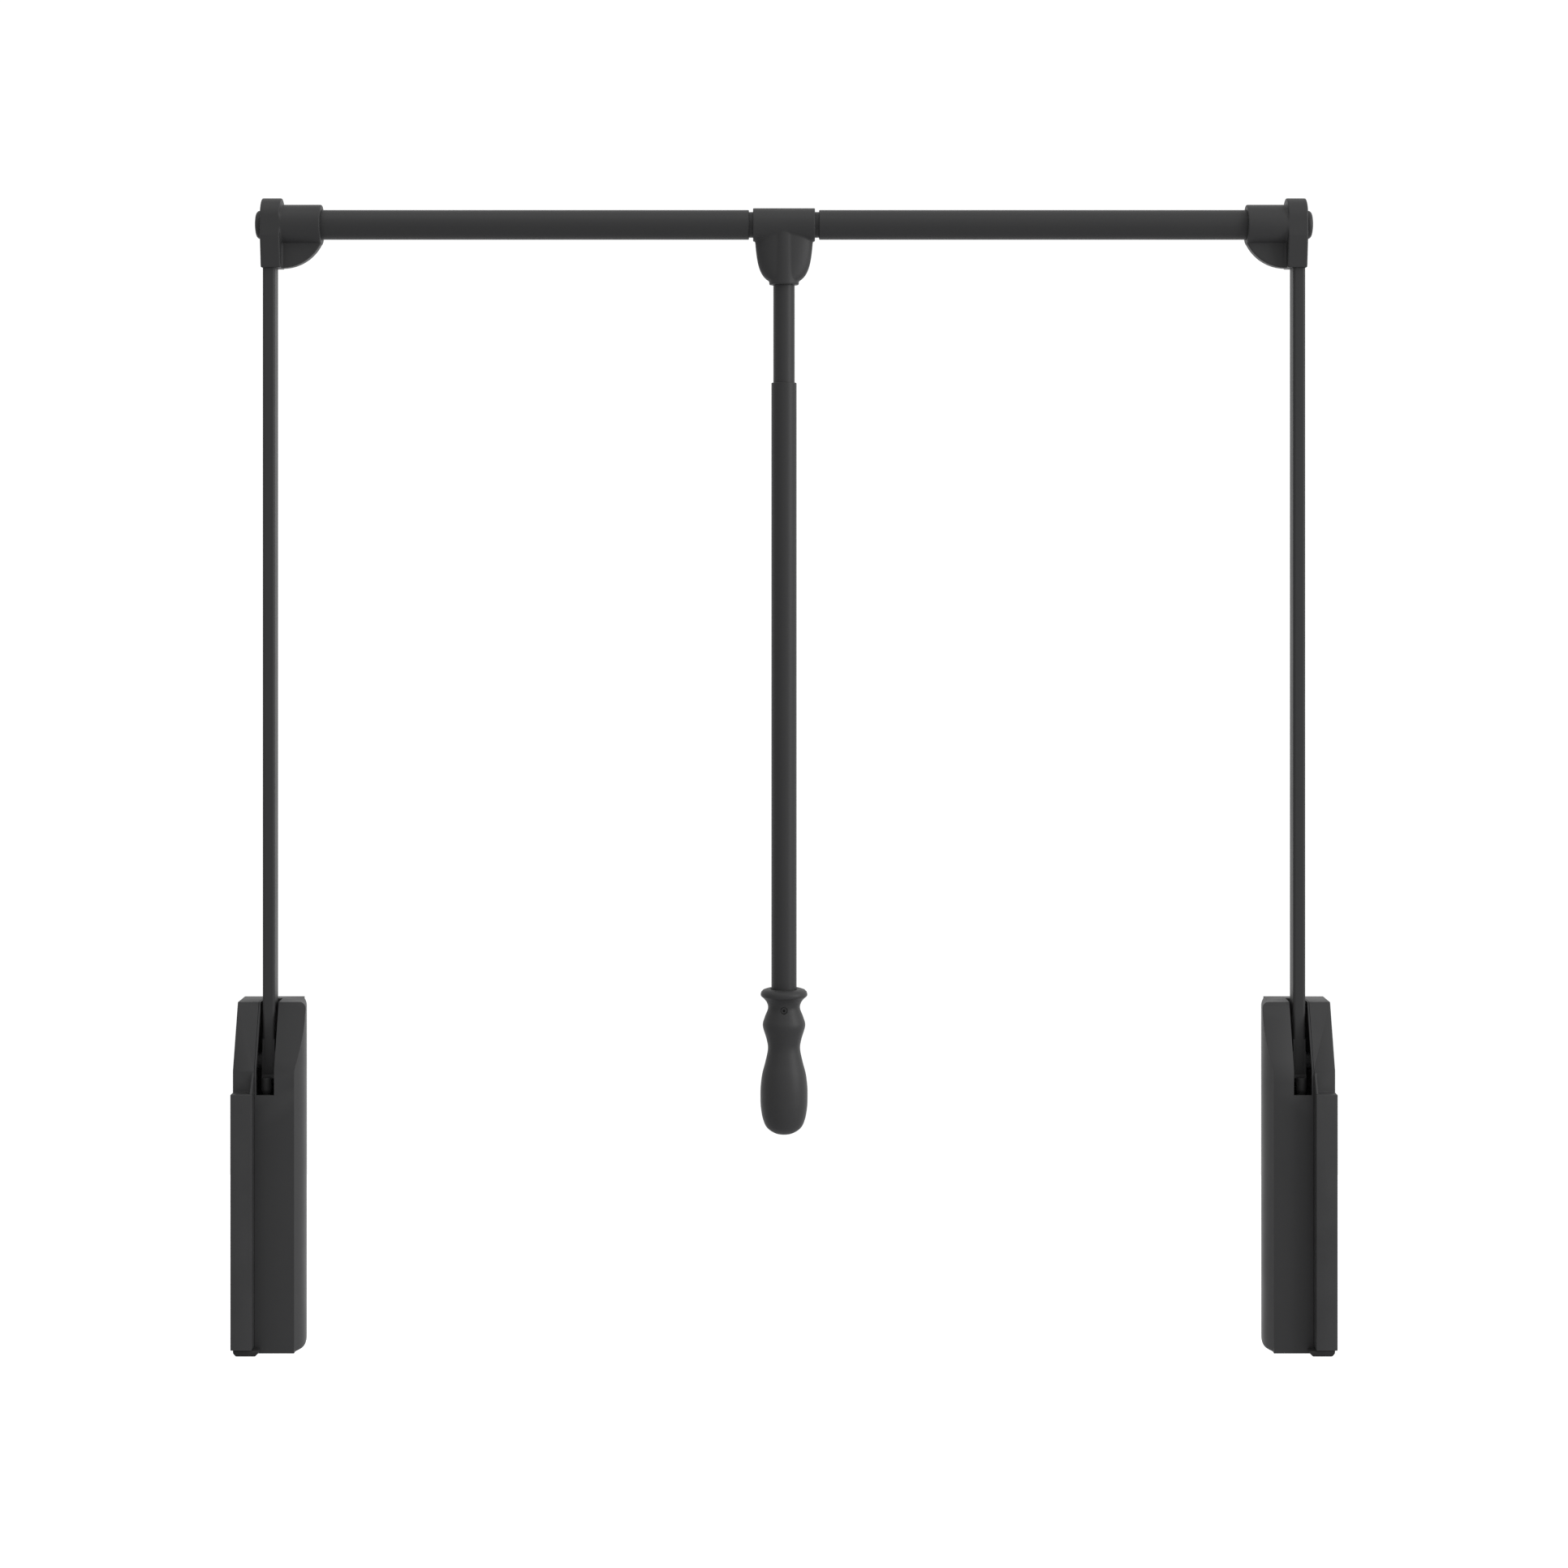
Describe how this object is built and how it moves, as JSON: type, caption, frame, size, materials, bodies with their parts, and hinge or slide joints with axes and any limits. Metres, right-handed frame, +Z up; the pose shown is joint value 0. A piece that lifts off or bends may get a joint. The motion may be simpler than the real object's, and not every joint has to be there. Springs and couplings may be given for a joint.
{
  "type": "pull-down wardrobe rail",
  "caption": "Pull-down clothes rail for a wardrobe: spring units on both walls, swinging arms, a telescopic rail and a hanging pull rod with a turned grip.",
  "frame": {"origin": "midway between the two wall faces and between the front and back of the units, level with the units' undersides", "axes": "+X to the right along the rail, +Y to the back of the wardrobe, +Z up"},
  "size_m": [0.83, 0.064, 0.8727],
  "materials": {
    "moulded_plastic": "satin moulded plastic with a fine grain",
    "painted_tube": "satin powder coat",
    "rubber": "matt",
    "zinc_steel": "zinc plated",
    "acetal": "black acetal, slightly waxy"
  },
  "bodies": {
    "left_unit": {"left_outer_tray": "moulded_plastic", "left_inner_cover": "moulded_plastic", "left_foot_pad": "rubber", "left_chassis": "zinc_steel", "left_side_plate": "zinc_steel", "left_cover_screw_1": "zinc_steel", "left_cover_screw_2": "zinc_steel", "left_cover_screw_3": "zinc_steel", "left_pivot_axle": "zinc_steel", "left_outer_spacer": "acetal", "left_inner_spacer": "acetal", "left_stop_bumper": "rubber", "left_coil_spring": "zinc_steel"},
    "left_rack": {"left_spring_rack": "acetal", "left_spring_nut": "zinc_steel"},
    "left_arm": {"left_arm_hub": "painted_tube", "left_arm": "painted_tube", "left_end_bracket": "moulded_plastic", "left_rail_button": "moulded_plastic", "left_rail_tube": "painted_tube", "left_rail_plug": "acetal"},
    "rail_middle": {"inner_rail": "painted_tube"},
    "pull_rod": {"tee": "moulded_plastic", "pull_rod": "painted_tube", "rod_bush": "acetal"},
    "grip": {"grip_tube": "painted_tube", "grip": "moulded_plastic", "grip_screw": "painted_tube"},
    "right_arm": {"right_arm_hub": "painted_tube", "right_arm": "painted_tube", "right_end_bracket": "moulded_plastic", "right_rail_button": "moulded_plastic", "right_rail_tube": "painted_tube", "right_rail_plug": "acetal"},
    "right_unit": {"right_outer_tray": "moulded_plastic", "right_inner_cover": "moulded_plastic", "right_foot_pad": "rubber", "right_chassis": "zinc_steel", "right_side_plate": "zinc_steel", "right_cover_screw_1": "zinc_steel", "right_cover_screw_2": "zinc_steel", "right_cover_screw_3": "zinc_steel", "right_pivot_axle": "zinc_steel", "right_outer_spacer": "acetal", "right_inner_spacer": "acetal", "right_stop_bumper": "rubber", "right_coil_spring": "zinc_steel"},
    "right_rack": {"right_spring_rack": "acetal", "right_spring_nut": "zinc_steel"}
  },
  "joints": [
    {"name": "arm_swing", "type": "hinge", "parent": "left_unit", "child": "left_arm", "pos_m": [0, 0.007, 0.216], "axis": [1, 0, 0], "range_deg": [0, 90], "stiffness_Nm_per_rad": 5, "springref_deg": -28.65},
    {"name": "left_rail_slide", "type": "slide", "parent": "left_arm", "child": "rail_middle", "axis": [1, 0, 0], "range_m": [0, 0.16]},
    {"name": "right_rail_slide", "type": "slide", "parent": "rail_middle", "child": "right_arm", "axis": [1, 0, 0], "range_m": [0, 0.16]},
    {"name": "right_unit_pivot", "type": "hinge", "parent": "right_arm", "child": "right_unit", "pos_m": [0, 0.007, 0.216], "axis": [1, 0, 0], "range_deg": [-90, 0]},
    {"name": "rod_swing", "type": "hinge", "parent": "rail_middle", "child": "pull_rod", "pos_m": [0, 0.007, 0.8525], "axis": [-1, 0, 0], "range_deg": [-30, 100]},
    {"name": "grip_slide", "type": "slide", "parent": "pull_rod", "child": "grip", "axis": [0, 0, -1], "range_m": [-0.07, 0.21]},
    {"name": "left_rack_slide", "type": "slide", "parent": "left_unit", "child": "left_rack", "axis": [0, 0, 1], "range_m": [0, 0.022], "deforming": ["left_coil_spring"]},
    {"name": "right_rack_slide", "type": "slide", "parent": "right_unit", "child": "right_rack", "axis": [0, 0, 1], "range_m": [0, 0.022], "deforming": ["right_coil_spring"]}
  ],
  "couplings": [
    {"joint": "right_unit_pivot", "follows": "arm_swing", "ratio": -1},
    {"joint": "left_rack_slide", "follows": "arm_swing", "m_per_rad": 0.014},
    {"joint": "right_rack_slide", "follows": "arm_swing", "m_per_rad": 0.014}
  ]
}
